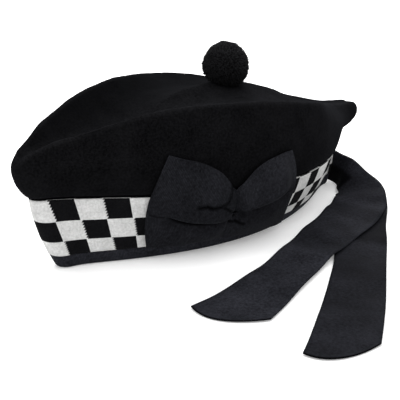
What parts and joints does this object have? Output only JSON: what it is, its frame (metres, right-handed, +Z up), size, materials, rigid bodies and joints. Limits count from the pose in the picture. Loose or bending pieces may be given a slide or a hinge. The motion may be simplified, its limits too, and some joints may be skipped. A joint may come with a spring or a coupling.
{
  "type": "glengarry bonnet",
  "caption": "Boat-shaped wool bonnet with a diced knitted band, ribbon binding, side bow, wool ball on top and ribbon tails at the back.",
  "frame": {"origin": "middle of the rim, in the plane that the bonnet stands on", "axes": "+Z up, -Y towards the front point, +X towards the wearer's left side, which carries the bow and to which the tails lie"},
  "size_m": [0.2914, 0.3416, 0.137],
  "materials": {
    "black_wool": "milled wool, dull",
    "diced_knit": "knitted wool in black and white squares",
    "black_ribbon": "ribbed ribbon, slightly lustrous",
    "toorie_wool": "cut wool yarn, dull"
  },
  "bodies": {
    "root": {"crown": "black_wool", "diced_band": "diced_knit", "edge_binding": "black_ribbon", "toorie": "toorie_wool", "bow_front_loop": "black_ribbon", "bow_rear_loop": "black_ribbon", "near_tail": "black_ribbon", "far_tail": "black_ribbon"}
  },
  "joints": []
}
